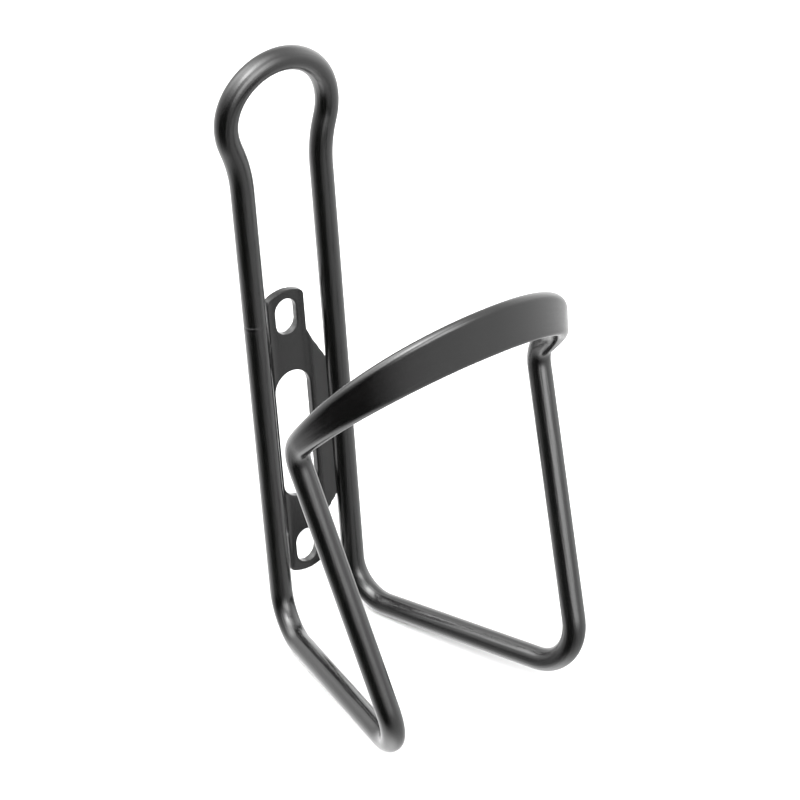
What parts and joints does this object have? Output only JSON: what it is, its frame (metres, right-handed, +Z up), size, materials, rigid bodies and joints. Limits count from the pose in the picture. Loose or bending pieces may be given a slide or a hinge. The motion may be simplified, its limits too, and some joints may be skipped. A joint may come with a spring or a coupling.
{
  "type": "water bottle cage",
  "caption": "Bicycle bottle cage bent from one round alloy rod, with a keyhole top loop, a flattened front hoop and a welded plate with bolt slots",
  "frame": {"origin": "centre of the two bolt slots, on the back face of the mounting plate", "axes": "+Z runs up the rails towards the top loop, +Y points out of the plate's back into the bicycle tube, -Y towards the bottle, and X = 0 is the plane of symmetry"},
  "size_m": [0.0726, 0.0811, 0.1531],
  "materials": {
    "rod": "satin black",
    "plate": "satin black",
    "weld": "satin black, rippled"
  },
  "bodies": {
    "root": {"top_loop": "rod", "left_rail_upper": "rod", "rod_butt_weld": "weld", "left_rail_lower": "rod", "right_rail": "rod", "left_foot_bend": "rod", "right_foot_bend": "rod", "left_base_arm": "rod", "right_base_arm": "rod", "left_toe_bend": "rod", "right_toe_bend": "rod", "left_upright": "rod", "right_upright": "rod", "left_shoulder_bend": "rod", "right_shoulder_bend": "rod", "front_hoop": "rod", "mounting_plate": "plate", "upper_left_weld": "weld", "lower_left_weld": "weld", "upper_right_weld": "weld", "lower_right_weld": "weld"}
  },
  "joints": []
}
